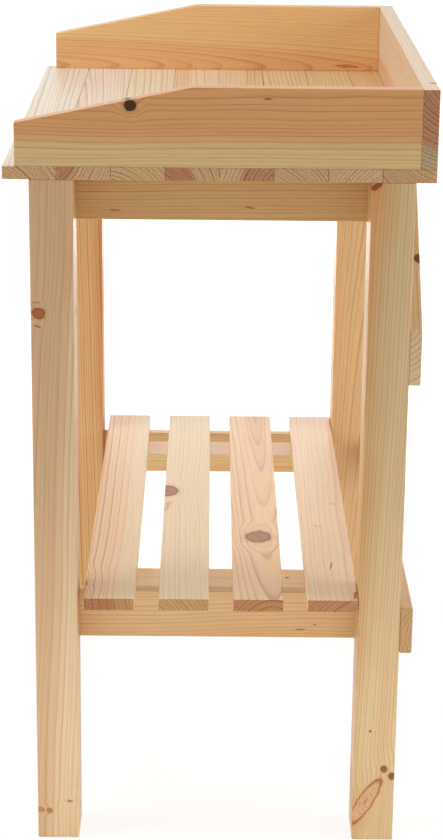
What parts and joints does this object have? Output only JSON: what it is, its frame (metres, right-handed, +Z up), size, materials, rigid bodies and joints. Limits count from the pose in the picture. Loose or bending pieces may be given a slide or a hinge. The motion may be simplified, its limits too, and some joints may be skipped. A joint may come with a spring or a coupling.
{
  "type": "potting bench",
  "caption": "Pine potting bench: boarded worktop with a raised gallery on three sides, square legs, a slatted lower shelf and knee braces at the back.",
  "frame": {"origin": "on the floor, under the middle of the worktop", "axes": "+X to the right-hand end, +Y to the back with the tall gallery board, +Z up"},
  "size_m": [0.668, 0.45, 0.854],
  "materials": {
    "leg_pine": "planed pine, untreated, matt",
    "rail_pine": "planed pine, untreated, matt",
    "worktop_pine": "planed pine, untreated, matt",
    "gallery_pine": "planed pine, untreated, matt",
    "shelf_pine": "planed pine, untreated, matt",
    "dowel_beech": "turned beech, matt",
    "screw_steel": "zinc plated steel"
  },
  "bodies": {
    "root": {"apron_left": "rail_pine", "apron_right": "rail_pine", "back_rail": "rail_pine", "back_rail_screws": "screw_steel", "brace_left": "rail_pine", "brace_right": "rail_pine", "brace_screws": "screw_steel", "frame_screws": "screw_steel", "gallery_back": "gallery_pine", "gallery_screws": "screw_steel", "gallery_side_left": "gallery_pine", "gallery_side_right": "gallery_pine", "leg_dowels": "dowel_beech", "leg_front_left": "leg_pine", "leg_front_right": "leg_pine", "leg_rear_left": "leg_pine", "leg_rear_right": "leg_pine", "rail_dowels": "dowel_beech", "shelf_batten_left": "shelf_pine", "shelf_batten_right": "shelf_pine", "shelf_screws": "screw_steel", "shelf_slat_1": "shelf_pine", "shelf_slat_2": "shelf_pine", "shelf_slat_3": "shelf_pine", "shelf_slat_4": "shelf_pine", "side_rail_left": "rail_pine", "side_rail_right": "rail_pine", "upper_rail_front": "rail_pine", "upper_rail_rear": "rail_pine", "worktop_batten_left": "rail_pine", "worktop_batten_middle": "rail_pine", "worktop_batten_right": "rail_pine", "worktop_board_1": "worktop_pine", "worktop_board_2": "worktop_pine", "worktop_board_3": "worktop_pine", "worktop_board_4": "worktop_pine", "worktop_board_5": "worktop_pine", "worktop_board_6": "worktop_pine", "worktop_board_7": "worktop_pine", "worktop_board_8": "worktop_pine", "worktop_screws": "screw_steel"}
  },
  "joints": []
}
